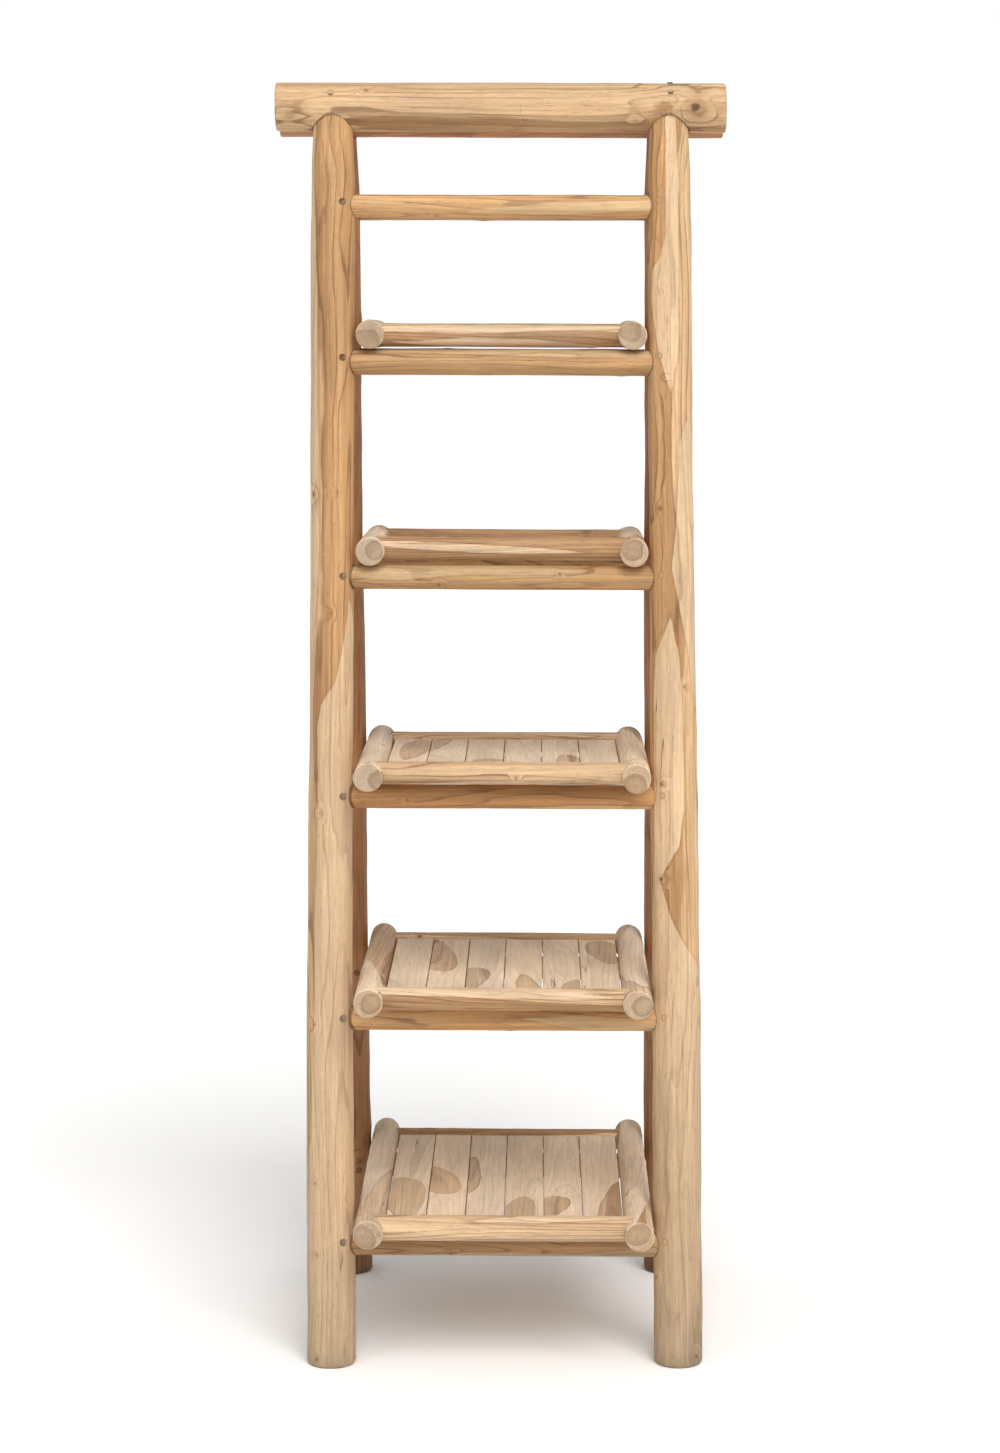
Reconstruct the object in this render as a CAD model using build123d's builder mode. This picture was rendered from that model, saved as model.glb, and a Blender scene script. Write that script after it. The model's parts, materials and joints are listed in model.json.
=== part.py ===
from build123d import *

import os
from dataclasses import dataclass
from math import cos, radians, sin, sqrt, tan

# Ladder shelf of round teak poles: two ladder frames hinged between their top beams, and five loose trays.
# Millimetres, +Z up, -Y is the front. The origin is on the floor, in the middle of the bounding box.

# ---- overall ----
HEIGHT = 1750.0
LEAN = 5.92  # degrees, each frame from the vertical
LEG_X = 235.5  # leg axes, either side of the middle
LEG_R = 33.0
LEG_TOP_R = 29.0  # the leg narrows towards the beam
LEG_TAPER = 80.0  # length of that narrowing
LEG_AHEAD = 4.0  # leg axis outside the beam axis
FOOT_ROUND = 5.0

# ---- top beams ----
BEAM_LENGTH = 626.0
FRONT_BEAM_R = 34.5
REAR_BEAM_R = 36.5
BEAM_GAP = 1.0  # between the two beams when the ladder stands open
BEAM_ROUND = 3.0
COPE_CLEARANCE = 0.1

# ---- rungs ----
RUNG_COUNT = 5
FIRST_RUNG_Z = 160.0
RUNG_PITCH = 300.0
RUNG_R = 18.0
TOP_RUNG_Z = 1575.0
TOP_RUNG_R = 17.0
RUNG_AHEAD = 3.0  # rung axis outside the leg axis
TENON_R = 15.0
TENON_DEPTH = 29.0
SHOULDER = 7.0  # length of the cone between tenon and rung
FIT = 0.15  # glue gap round a tenon
END_GAP = 1.0  # space past a tenon's end

# ---- frame screws ----
SCREW_R = 2.2
SCREW_HOLE_R = 2.3
SCREW_HEAD_R = 4.0
SCREW_HEAD_RIM = 1.2  # straight edge above the head's cone
SCREW_HEAD_T = 2.4
SCREW_SINK = 3.0  # head below the wood's surface
SCREW_TIP = 4.0
SLOT_WIDTH = 1.2
SLOT_LENGTH = 5.0
SLOT_DEPTH = 0.7
HOLE_MOUTH = 5.0  # how far outside the wood a screw's counterbore starts
RUNG_SCREW_LENGTH = 34.0
RUNG_SCREW_INSET = 16.5  # from the leg axis towards the rung
RUNG_SCREW_RISE = 5.0  # above the rung axis
TOP_SCREW_LENGTH = 100.0
FACE_SCREW_LENGTH = 84.0
FACE_SCREW_OUT = 28.0  # from the beam axis, outwards
FACE_SCREW_TILT = 4.0  # degrees from the vertical

# ---- hinges ----
HINGE_X = 120.0
HINGE_DROP = 24.0  # knuckle below the mean beam axis
HINGE_LENGTH = 64.0
LEAF_HEIGHT = 30.0
LEAF_T = 2.0
KNUCKLE_R = 4.0
KNUCKLE_GAP = 0.3
PIN_R = 1.7
PIN_BORE_R = 1.75
PIN_HEAD_R = 3.0
PIN_HEAD_T = 1.5
LEAF_SCREW_X = 20.0
LEAF_SCREW_RISE = 21.0
LEAF_SCREW_R = 1.7
LEAF_SCREW_HEAD_R = 3.4
LEAF_SCREW_LENGTH = 22.0
LEAF_SEAT_MARGIN = 1.0
KNUCKLES = 5

# ---- trays, from the floor up ----
POLE_R = 20.0
POLE_X = 181.5
POLE_ROUND = 2.0
REST_GAP = 0.3  # between a tray pole and the rungs that carry it
FRONT_OVERHANG = (105.0, 91.0, 86.0, 27.0, 22.0)  # pole end past the front rung axis
REAR_OVERHANG = (51.0, 45.0, 47.0, 26.0, 20.0)
RAIL_R = 15.5
RAIL_INSET = 33.0  # rail axis behind the pole's end
RAIL_TENON_R = 8.0
RAIL_TENON_X = 178.0
SLAT_COUNT = 6
SLAT_WIDTH = 50.8
SLAT_PITCH = 53.2
SLAT_T = 10.0
SLAT_EDGE = 0.8
GROOVE_DEPTH = 7.0
GROOVE_FIT = 0.15
NAIL_R = 1.5
NAIL_HEAD_R = 3.0
NAIL_HEAD_T = 1.2
NAIL_LENGTH = 50.0


def rung_reach(beam_r, z):
    """Distance of the rung axis at height z from the plane between the two beams."""
    drop = HEIGHT - beam_r - z
    return BEAM_GAP / 2 + beam_r + LEG_AHEAD + tan(radians(LEAN)) * drop + RUNG_AHEAD


# The lowest tray is the deepest piece. The plane between the beams stands where that tray is centred on Y 0.
HINGE_Y = (
    rung_reach(FRONT_BEAM_R, FIRST_RUNG_Z)
    + FRONT_OVERHANG[0]
    - rung_reach(REAR_BEAM_R, FIRST_RUNG_Z)
    - REAR_OVERHANG[0]
) / 2
HINGE_Z = HEIGHT - (FRONT_BEAM_R + REAR_BEAM_R) / 2 - HINGE_DROP
RUNG_Z = [FIRST_RUNG_Z + RUNG_PITCH * i for i in range(RUNG_COUNT)]


@dataclass
class Frame:
    """One of the two ladders. side is -1 for the front and 1 for the rear."""

    name: str
    side: int
    beam_r: float

    @property
    def beam_y(self):
        return HINGE_Y + self.side * (BEAM_GAP / 2 + self.beam_r)

    @property
    def beam_z(self):
        return HEIGHT - self.beam_r

    def rung_y(self, z):
        """Where the rung axis is at height z."""
        return HINGE_Y + self.side * rung_reach(self.beam_r, z)

    def leg_y(self, z):
        """Where the leg axis is at height z."""
        return self.rung_y(z) - self.side * RUNG_AHEAD

    def leg_plane(self, x):
        """On the leg axis at the floor: local Y runs up the leg and local Z points out of the ladder."""
        return Plane(
            origin=(x, self.leg_y(0), 0),
            x_dir=(-self.side, 0, 0),
            z_dir=(0, self.side * cos(radians(LEAN)), sin(radians(LEAN))),
        )


FRONT = Frame("front", -1, FRONT_BEAM_R)
REAR = Frame("rear", 1, REAR_BEAM_R)

os.makedirs("parts", exist_ok=True)


def write(part, label):
    part.label = label
    export_step(part, f"parts/{label}.step")


def pointing(point, direction):
    """A location at point whose local Z is direction. Holes cut along its local -Z."""
    return Location(Plane(origin=point, z_dir=direction))


# ---- places of the frame screws ----
def rung_screw_location(frame, x_side, z):
    """Outer surface of the leg beside a rung's tenon, local Z pointing out of the leg."""
    plane = frame.leg_plane(x_side * LEG_X)
    rung = plane.to_local_coords(Vector(x_side * LEG_X, frame.rung_y(z), z))
    inset = frame.side * x_side * RUNG_SCREW_INSET
    surface = sqrt(LEG_R**2 - RUNG_SCREW_INSET**2)
    return plane.location * Location((inset, rung.Y + RUNG_SCREW_RISE, surface))


def top_screw_location(frame, x_side):
    """Top of the beam, in line with the leg axis."""
    lean = radians(LEAN)
    y = frame.leg_y(frame.beam_z + frame.beam_r)
    return pointing((x_side * LEG_X, y, HEIGHT), (0, -frame.side * sin(lean), cos(lean)))


def face_screw_location(frame, x_side):
    """Outer upper face of the beam, over the front of the leg."""
    tilt = radians(FACE_SCREW_TILT)
    rise = sqrt(frame.beam_r**2 - FACE_SCREW_OUT**2)
    point = (x_side * LEG_X, frame.beam_y + frame.side * FACE_SCREW_OUT, frame.beam_z + rise)
    return pointing(point, (0, frame.side * sin(tilt), cos(tilt)))


def screw_places(frame):
    """(location at the wood's surface, screw length) of every screw in a frame."""
    places = []
    for x_side in (-1, 1):
        for z in (*RUNG_Z, TOP_RUNG_Z):
            places.append((rung_screw_location(frame, x_side, z), RUNG_SCREW_LENGTH))
        places.append((top_screw_location(frame, x_side), TOP_SCREW_LENGTH))
        places.append((face_screw_location(frame, x_side), FACE_SCREW_LENGTH))
    return places


def make_screw(length):
    """Countersunk cross-slot wood screw, its axis on Z, its sunk head's top SCREW_SINK below Z 0."""
    top = -SCREW_SINK
    with BuildPart() as screw:
        with BuildSketch(Plane.XZ):
            with BuildLine():
                Polyline(
                    (0, top),
                    (SCREW_HEAD_R, top),
                    (SCREW_HEAD_R, top - SCREW_HEAD_RIM),
                    (SCREW_R, top - SCREW_HEAD_T),
                    (SCREW_R, top - length + SCREW_TIP),
                    (0, top - length),
                    close=True,
                )
            make_face()
        revolve(axis=Axis.Z)
        with BuildSketch(Plane.XY.offset(top)):
            Rectangle(SLOT_LENGTH, SLOT_WIDTH)
            Rectangle(SLOT_WIDTH, SLOT_LENGTH)
        extrude(amount=-SLOT_DEPTH, mode=Mode.SUBTRACT)
    return screw.part


def drill_for_screw(length):
    """Cuts the head's counterbore and the shank's hole of a screw of this length at the current location."""
    with Locations((0, 0, HOLE_MOUTH)):
        CounterBoreHole(
            radius=SCREW_HOLE_R,
            counter_bore_radius=SCREW_HEAD_R + FIT,
            counter_bore_depth=HOLE_MOUTH + SCREW_SINK + SCREW_HEAD_T,
            depth=HOLE_MOUTH + SCREW_SINK + length + FIT,
        )


# ---- ladder frames ----
def make_beam(frame):
    with BuildPart() as beam:
        with BuildSketch(Plane.YZ.offset(-BEAM_LENGTH / 2)):
            with Locations((frame.beam_y, frame.beam_z)):
                Circle(frame.beam_r)
        extrude(amount=BEAM_LENGTH)
        fillet(beam.edges().filter_by(GeomType.CIRCLE), BEAM_ROUND)
        for x_side in (-1, 1):
            for place, length in (
                (top_screw_location(frame, x_side), TOP_SCREW_LENGTH),
                (face_screw_location(frame, x_side), FACE_SCREW_LENGTH),
            ):
                with Locations(place):
                    drill_for_screw(length)
            # flat seat for the hinge leaf on the face between the beams
            seat = HINGE_LENGTH + 2 * LEAF_SEAT_MARGIN
            with BuildSketch(Plane.YZ.offset(x_side * HINGE_X - seat / 2)):
                with Locations((HINGE_Y, HINGE_Z + LEAF_HEIGHT / 2)):
                    Rectangle(2 * KNUCKLE_R, LEAF_HEIGHT + 2 * LEAF_SEAT_MARGIN)
            extrude(amount=seat, mode=Mode.SUBTRACT)
            for dx in (-LEAF_SCREW_X, LEAF_SCREW_X):
                leaf_face = (x_side * HINGE_X + dx, HINGE_Y, HINGE_Z + LEAF_SCREW_RISE)
                with Locations(pointing(leaf_face, (0, -frame.side, 0))):
                    Hole(LEAF_SCREW_R + FIT, depth=KNUCKLE_R + LEAF_SCREW_LENGTH)
    return beam.part


def make_leg(frame, x_side):
    x = x_side * LEG_X
    plane = frame.leg_plane(x)
    top = plane.to_local_coords(Vector(x, frame.leg_y(frame.beam_z), frame.beam_z)).Y
    taper_foot = top - frame.beam_r - LEG_TAPER
    below_floor = -LEG_R
    with BuildPart() as leg:
        with BuildSketch(plane):
            with BuildLine():
                side_line = Line((LEG_R, below_floor), (LEG_R, taper_foot))
                shoulder = TangentArc(
                    side_line @ 1, (LEG_TOP_R, top - frame.beam_r), tangent=(0, 1)
                )
                Polyline(
                    shoulder @ 1,
                    (LEG_TOP_R, top),
                    (0, top),
                    (0, below_floor),
                    (LEG_R, below_floor),
                )
            make_face()
        revolve(axis=Axis(plane.origin, plane.y_dir))
        split(bisect_by=Plane.XY, keep=Keep.TOP)
        foot = leg.edges().sort_by(Axis.Z)[0]
        fillet(foot, FOOT_ROUND)
        with BuildSketch(Plane.YZ.offset(x - 2 * LEG_R)):
            with Locations((frame.beam_y, frame.beam_z)):
                Circle(frame.beam_r + COPE_CLEARANCE)
        extrude(amount=4 * LEG_R, mode=Mode.SUBTRACT)
        inner_face = x - x_side * LEG_R
        for z in (*RUNG_Z, TOP_RUNG_Z):
            with Locations(pointing((inner_face, frame.rung_y(z), z), (-x_side, 0, 0))):
                Hole(TENON_R + FIT, depth=TENON_DEPTH + END_GAP)
            with Locations(rung_screw_location(frame, x_side, z)):
                drill_for_screw(RUNG_SCREW_LENGTH)
        with Locations(top_screw_location(frame, x_side)):
            Hole(SCREW_HOLE_R, depth=SCREW_SINK + TOP_SCREW_LENGTH + FIT)
        with Locations(face_screw_location(frame, x_side)):
            Hole(SCREW_HOLE_R, depth=SCREW_SINK + FACE_SCREW_LENGTH + FIT)
    return leg.part


def make_rung(frame, z, radius):
    """Round rung along X with a shouldered tenon at each end."""
    face = LEG_X - LEG_R
    with BuildPart() as rung:
        with BuildSketch(Plane(origin=(0, frame.rung_y(z), z), x_dir=(1, 0, 0), z_dir=(0, -1, 0))):
            with BuildLine():
                Polyline(
                    (0, 0),
                    (0, radius),
                    (face - SHOULDER - FIT, radius),
                    (face - FIT, TENON_R),
                    (face + TENON_DEPTH, TENON_R),
                    (face + TENON_DEPTH, 0),
                    close=True,
                )
            make_face()
        revolve(axis=Axis((0, frame.rung_y(z), z), (1, 0, 0)))
        mirror(about=Plane.YZ)
        for x_side in (-1, 1):
            with Locations(rung_screw_location(frame, x_side, z)):
                Hole(SCREW_HOLE_R, depth=SCREW_SINK + RUNG_SCREW_LENGTH + FIT)
    return rung.part


def make_frame_screws(frame):
    shapes = {n: make_screw(n) for n in (RUNG_SCREW_LENGTH, TOP_SCREW_LENGTH, FACE_SCREW_LENGTH)}
    with BuildPart() as screws:
        for place, length in screw_places(frame):
            with Locations(place):
                add(shapes[length])
    return screws.part


def make_ladder(frame):
    write(make_beam(frame), f"{frame.name}_top_beam")
    for x_side, word in ((-1, "left"), (1, "right")):
        write(make_leg(frame, x_side), f"{frame.name}_{word}_leg")
    for number, z in enumerate(RUNG_Z, start=1):
        write(make_rung(frame, z, RUNG_R), f"{frame.name}_rung_{number}")
    write(make_rung(frame, TOP_RUNG_Z, TOP_RUNG_R), f"{frame.name}_top_rung")
    write(make_frame_screws(frame), f"{frame.name}_frame_screws")


# ---- hinges between the beams ----
def knuckle_span(number):
    """(start, end) of a knuckle along the hinge, from its middle."""
    pitch = HINGE_LENGTH / KNUCKLES
    start = -HINGE_LENGTH / 2 + pitch * number
    return start + KNUCKLE_GAP / 2, start + pitch - KNUCKLE_GAP / 2


def make_leaf(frame, x):
    """Front leaves have knuckles 0, 2 and 4, rear leaves 1 and 3."""
    own = 0 if frame.side < 0 else 1
    with BuildPart() as leaf:
        with BuildSketch(Plane.YZ.offset(x - HINGE_LENGTH / 2)):
            with Locations((HINGE_Y + frame.side * (KNUCKLE_R - LEAF_T / 2), HINGE_Z + LEAF_HEIGHT / 2)):
                Rectangle(LEAF_T, LEAF_HEIGHT)
        extrude(amount=HINGE_LENGTH)
        for number in range(KNUCKLES):
            start, end = knuckle_span(number)
            mine = number % 2 == own
            room = 0 if mine else KNUCKLE_GAP
            with BuildSketch(Plane.YZ.offset(x + start - room)):
                with Locations((HINGE_Y, HINGE_Z)):
                    Circle(KNUCKLE_R + room)
            extrude(amount=end - start + 2 * room, mode=Mode.ADD if mine else Mode.SUBTRACT)
        with BuildSketch(Plane.YZ.offset(x - HINGE_LENGTH / 2)):
            with Locations((HINGE_Y, HINGE_Z)):
                Circle(PIN_BORE_R)
        extrude(amount=HINGE_LENGTH, mode=Mode.SUBTRACT)
        for dx in (-LEAF_SCREW_X, LEAF_SCREW_X):
            inner = HINGE_Y + frame.side * (KNUCKLE_R - LEAF_T)
            with Locations(pointing((x + dx, inner, HINGE_Z + LEAF_SCREW_RISE), (0, -frame.side, 0))):
                CounterSinkHole(LEAF_SCREW_R + FIT, LEAF_SCREW_HEAD_R + FIT, depth=LEAF_T)
    return leaf.part


def make_pin(x):
    start = x - HINGE_LENGTH / 2
    with BuildPart() as pin:
        with BuildSketch(Plane.YZ.offset(start)):
            with Locations((HINGE_Y, HINGE_Z)):
                Circle(PIN_R)
        extrude(amount=HINGE_LENGTH)
        for face, way in ((start, -1), (start + HINGE_LENGTH, 1)):
            with BuildSketch(Plane.YZ.offset(face)):
                with Locations((HINGE_Y, HINGE_Z)):
                    Circle(PIN_HEAD_R)
            extrude(amount=way * PIN_HEAD_T)
    return pin.part


def make_leaf_screws(frame):
    head_t = LEAF_SCREW_HEAD_R - LEAF_SCREW_R
    with BuildPart() as one:
        with BuildSketch(Plane.XZ):
            with BuildLine():
                Polyline(
                    (0, 0),
                    (LEAF_SCREW_HEAD_R, 0),
                    (LEAF_SCREW_R, -head_t),
                    (LEAF_SCREW_R, -LEAF_SCREW_LENGTH + SCREW_TIP),
                    (0, -LEAF_SCREW_LENGTH),
                    close=True,
                )
            make_face()
        revolve(axis=Axis.Z)
    inner = HINGE_Y + frame.side * (KNUCKLE_R - LEAF_T)
    with BuildPart() as screws:
        for hinge_x in (-HINGE_X, HINGE_X):
            for dx in (-LEAF_SCREW_X, LEAF_SCREW_X):
                point = (hinge_x + dx, inner, HINGE_Z + LEAF_SCREW_RISE)
                with Locations(pointing(point, (0, -frame.side, 0))):
                    add(one.part)
    return screws.part


def make_hinges():
    for x, word in ((-HINGE_X, "left"), (HINGE_X, "right")):
        for frame in (FRONT, REAR):
            write(make_leaf(frame, x), f"hinge_{word}_{frame.name}_leaf")
        write(make_pin(x), f"hinge_{word}_pin")
    for frame in (FRONT, REAR):
        write(make_leaf_screws(frame), f"hinge_{frame.name}_screws")


# ---- trays ----
@dataclass
class Tray:
    """A loose tray on one pair of rungs. number counts from the floor."""

    number: int

    @property
    def z(self):
        return RUNG_Z[self.number - 1] + RUNG_R + REST_GAP + POLE_R

    @property
    def front(self):
        return FRONT.rung_y(RUNG_Z[self.number - 1]) - FRONT_OVERHANG[self.number - 1]

    @property
    def rear(self):
        return REAR.rung_y(RUNG_Z[self.number - 1]) + REAR_OVERHANG[self.number - 1]

    @property
    def rails(self):
        """(rail axis y, which way the slats lie) of the front and rear rails."""
        return ((self.front + RAIL_INSET, 1), (self.rear - RAIL_INSET, -1))


def nail_location(tray, x_side, rail_y):
    """Outermost line of a side pole, level with a rail."""
    return pointing((x_side * (POLE_X + POLE_R), rail_y, tray.z), (x_side, 0, 0))


def make_pole(tray, x_side):
    """Side pole along Y, with a blind mortise for each rail."""
    x = x_side * POLE_X
    with BuildPart() as pole:
        with BuildSketch(Plane(origin=(x, tray.front, tray.z), x_dir=(1, 0, 0), z_dir=(0, 1, 0))):
            Circle(POLE_R)
        extrude(amount=tray.rear - tray.front)
        fillet(pole.edges().filter_by(GeomType.CIRCLE), POLE_ROUND)
        for rail_y, _ in tray.rails:
            inner = (x - x_side * POLE_R, rail_y, tray.z)
            with Locations(pointing(inner, (-x_side, 0, 0))):
                Hole(RAIL_TENON_R + FIT, depth=RAIL_TENON_X - POLE_X + POLE_R + END_GAP)
            with Locations(nail_location(tray, x_side, rail_y)):
                CounterBoreHole(
                    radius=NAIL_R + FIT,
                    counter_bore_radius=NAIL_HEAD_R + FIT,
                    counter_bore_depth=NAIL_HEAD_T + FIT,
                    depth=POLE_X + POLE_R - RAIL_TENON_X,
                )
    return pole.part


def make_rail(tray, rail_y, slat_way):
    """Cross rail along X, its ends coped to the poles, with a groove for the slats."""
    groove_mouth = rail_y + slat_way * RAIL_R
    with BuildPart() as rail:
        with BuildSketch(Plane.YZ.offset(-POLE_X)):
            with Locations((rail_y, tray.z)):
                Circle(RAIL_R)
        extrude(amount=2 * POLE_X)
        for x in (-POLE_X, POLE_X):
            with BuildSketch(Plane.XZ.offset(-rail_y - 2 * RAIL_R)):
                with Locations((x, tray.z)):
                    Circle(POLE_R + COPE_CLEARANCE)
            extrude(amount=4 * RAIL_R, mode=Mode.SUBTRACT)
        with BuildSketch(Plane.YZ.offset(-POLE_X)):
            with Locations((groove_mouth, tray.z)):
                Rectangle(2 * GROOVE_DEPTH, SLAT_T + 2 * GROOVE_FIT)
        extrude(amount=2 * POLE_X, mode=Mode.SUBTRACT)
        with BuildSketch(Plane.YZ.offset(-RAIL_TENON_X)):
            with Locations((rail_y, tray.z)):
                Circle(RAIL_TENON_R)
        extrude(amount=2 * RAIL_TENON_X)
        for x_side in (-1, 1):
            with Locations(nail_location(tray, x_side, rail_y)):
                Hole(NAIL_R + FIT, depth=NAIL_LENGTH + END_GAP)
    return rail.part


def make_slats(tray):
    """Flat boards from rail to rail, side by side."""
    front_end = tray.rails[0][0] + RAIL_R - GROOVE_DEPTH + GROOVE_FIT
    rear_end = tray.rails[1][0] - RAIL_R + GROOVE_DEPTH - GROOVE_FIT
    with BuildPart() as slats:
        with BuildSketch(Plane.XY.offset(tray.z - SLAT_T / 2)):
            with Locations((0, (front_end + rear_end) / 2)):
                with GridLocations(SLAT_PITCH, 0, SLAT_COUNT, 1):
                    Rectangle(SLAT_WIDTH, rear_end - front_end)
        extrude(amount=SLAT_T)
        top_edges = slats.edges().filter_by(Axis.Y).group_by(Axis.Z)[-1]
        chamfer(top_edges, SLAT_EDGE)
    return slats.part


def make_nails(tray):
    with BuildPart() as one:
        Cylinder(NAIL_HEAD_R, NAIL_HEAD_T, align=(Align.CENTER, Align.CENTER, Align.MAX))
        Cylinder(NAIL_R, NAIL_LENGTH, align=(Align.CENTER, Align.CENTER, Align.MAX))
    with BuildPart() as nails:
        for rail_y, _ in tray.rails:
            for x_side in (-1, 1):
                with Locations(nail_location(tray, x_side, rail_y)):
                    add(one.part)
    return nails.part


def make_tray(tray):
    name = f"tray_{tray.number}"
    for x_side, word in ((-1, "left"), (1, "right")):
        write(make_pole(tray, x_side), f"{name}_{word}_pole")
    for (rail_y, slat_way), word in zip(tray.rails, ("front", "rear")):
        write(make_rail(tray, rail_y, slat_way), f"{name}_{word}_rail")
    write(make_slats(tray), f"{name}_slats")
    write(make_nails(tray), f"{name}_nails")


for ladder in (FRONT, REAR):
    make_ladder(ladder)
make_hinges()
for tray_number in range(1, RUNG_COUNT + 1):
    make_tray(Tray(tray_number))
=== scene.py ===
import json
import math
import random
from collections import namedtuple

import bpy
import numpy as np
from mathutils import Matrix, Vector


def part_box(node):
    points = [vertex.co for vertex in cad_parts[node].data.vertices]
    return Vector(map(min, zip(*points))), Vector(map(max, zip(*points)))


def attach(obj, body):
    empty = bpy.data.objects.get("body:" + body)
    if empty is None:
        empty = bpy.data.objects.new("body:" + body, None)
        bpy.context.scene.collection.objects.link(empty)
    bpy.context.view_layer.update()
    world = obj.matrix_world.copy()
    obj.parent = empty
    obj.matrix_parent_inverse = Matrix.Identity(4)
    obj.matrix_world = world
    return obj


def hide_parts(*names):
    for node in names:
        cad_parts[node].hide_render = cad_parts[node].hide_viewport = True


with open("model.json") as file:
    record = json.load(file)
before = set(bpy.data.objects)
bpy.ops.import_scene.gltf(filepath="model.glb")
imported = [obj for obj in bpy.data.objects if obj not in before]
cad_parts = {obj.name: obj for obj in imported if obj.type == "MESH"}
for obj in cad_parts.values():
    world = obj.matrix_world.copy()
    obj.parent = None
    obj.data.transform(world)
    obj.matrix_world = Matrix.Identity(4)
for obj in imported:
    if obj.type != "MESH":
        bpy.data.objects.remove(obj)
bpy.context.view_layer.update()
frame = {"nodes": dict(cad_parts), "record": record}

# Ladder shelf: two ladders of round teak logs hinged between their top beams, and five loose slatted trays.
# Metres, the CAD's frame: +Z up, -Y is the front. Every log, pole, rail and board is rebuilt here with its
# taper, knots and cut ends. The screws, nails and hinges are the CAD's own, with better materials.

NODES = frame["nodes"]
MOUNTS = {m["name"]: Vector(m["pos_m"]) for m in frame["record"]["mounts"]}
TRAYS = range(1, 6)
UP = Vector((0, 0, 1))
FRONT = Vector((0, -1, 0))
RIGHT = Vector((1, 0, 0))
MM = 0.001
NO_LIMIT = 1e9

# The real frame isn't quite square: everything off the floor is lower on the right by this slope, and the
# levels are a little off their even spacing. Heights and lifts in millimetres.
RACK_SLOPE = 0.0085
RACK_FROM_Z = 0.08
LEVELS = (
    (0, 0), (160, 0), (460, 2.0), (760, 2.2), (1060, 2.0),
    (1360, -1.2), (1575, 0.2), (1680, -1.6), (1760, -2.0),
)

# camera
CAMERA_PLACE = (0.050, -4.578, 1.422)
CAMERA_PITCH = -2.72  # degrees
CAMERA_YAW = -0.67
CAMERA_ROLL = -0.27
CAMERA_LENS = 80.9
CAMERA_SHIFT_Y = -0.175

# light
KEY_FROM = (0.24, -0.84, 0.95)
KEY_WIDTH = 38  # degrees
KEY_STRENGTH = 2.15
ROOM_DIM = 0.22
ROOM_BRIGHT = 0.85
ROOM_BRIGHTEST = (0.15, -0.55, 0.82)  # the direction most light comes from
FLOOR_REACH = 30.0


# ---- places read from the frame
def centre(node):
    lo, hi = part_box(node)
    return (lo + hi) / 2


def half_size(node, axis):
    lo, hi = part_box(node)
    return (hi - lo)[axis] / 2


def islands(obj):
    """The vertices of each separate solid of a CAD node."""
    mesh = obj.data
    parent = list(range(len(mesh.vertices)))

    def root(i):
        while parent[i] != i:
            parent[i] = parent[parent[i]]
            i = parent[i]
        return i

    seen = {}
    for v in mesh.vertices:
        key = tuple(round(c, 6) for c in v.co)
        parent[v.index] = root(seen.setdefault(key, v.index))
    for e in mesh.edges:
        a, b = (root(i) for i in e.vertices)
        parent[a] = b
    groups = {}
    for v in mesh.vertices:
        groups.setdefault(root(v.index), []).append(v.co.copy())
    return list(groups.values())


def screw_heads(node):
    """(centre of the head's top, outward direction) of each screw of a CAD node, before the frame settles."""
    found = []
    for points in islands(NODES[node]):
        co = np.array(points)
        mid = co.mean(0)
        mid[2] -= settled(mid)
        co[:, 2] -= settled(co)
        along = np.linalg.svd(co - mid)[2][0]
        place = (co - mid) @ along
        spread = np.linalg.norm((co - mid) - place[:, None] * along, axis=1)
        if place[spread.argmax()] < 0:
            along, place = -along, -place
        found.append((Vector(mid + along * place.max()), Vector(along)))
    return found


# ---- knots and pith of a log
# The most that counts as depth in the sapwood, or distance from it, in millimetres.
SAP_LIMIT = 12.0
# How blunt a tongue of sapwood ends.
TONGUE_TIP = 0.3


class Grain:
    """How a log grew: where its pith runs, how wide its heartwood is, and where its knots are.

    Lengths are in millimetres along the log from its start, angles in degrees from its front.
    """

    def __init__(self, seed, heart=24.0, tone=0.0, grey=0.0, pith=None, wander=3.5, bulges=(), knots=()):
        self.rng = random.Random(seed)
        rng = self.rng
        self.offset = seed * 1.37 % 40
        self.heart = heart
        self.tone = tone
        self.grey = grey
        if pith is None:
            angle = rng.uniform(0, 2 * math.pi)
            pith = (rng.uniform(5, 11) * math.cos(angle), rng.uniform(5, 11) * math.sin(angle))
        self.pith = pith
        self.waves = [
            (wander * rng.uniform(0.5, 1), rng.uniform(420, 1300), rng.uniform(0, 6.28))
            for _ in range(4)
        ]
        self.bulges = bulges
        self.knots = list(knots)
        self.patches = []
        self.sap = []

    def sap_depth(self, s, angle, radius):
        """How far inside the pale sapwood each point lies, in millimetres, negative outside it.

        self.sap lists tongues of (distance along the log, right edge, left edge), the edges in degrees.
        """
        depth = np.full(len(s), -SAP_LIMIT)
        for tongue in self.sap:
            places, right, left = (np.array(v) for v in zip(*sorted(tongue)))
            low, high = np.interp(s, places, right), np.interp(s, places, left)
            off = np.angle(np.exp(1j * (angle - np.radians((low + high) / 2))))
            inside = (np.radians((high - low) / 2) - np.abs(off)) * radius
            ends = np.minimum(s - places[0], places[-1] - s) * TONGUE_TIP
            depth = np.maximum(depth, np.minimum(inside, ends))
        return np.minimum(depth, SAP_LIMIT)

    def pith_at(self, s):
        """Offset of the pith from the log's axis, in millimetres, at the distances s."""
        y = np.full_like(s, self.pith[0])
        z = np.full_like(s, self.pith[1])
        for k, (size, length, phase) in enumerate(self.waves):
            wave = size * np.sin(2 * np.pi * s / length + phase)
            if k % 2:
                y += wave
            else:
                z += wave
        for place, width, dy, dz in self.bulges:
            swell = np.exp(-(((s - place) / width) ** 2))
            y += dy * swell
            z += dz * swell
        return y, z


# ---- log meshes
def square_cut(point, along):
    """A flat cut through point, square to a log."""
    return lambda base: (point - base) @ along / (along @ along)


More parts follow.
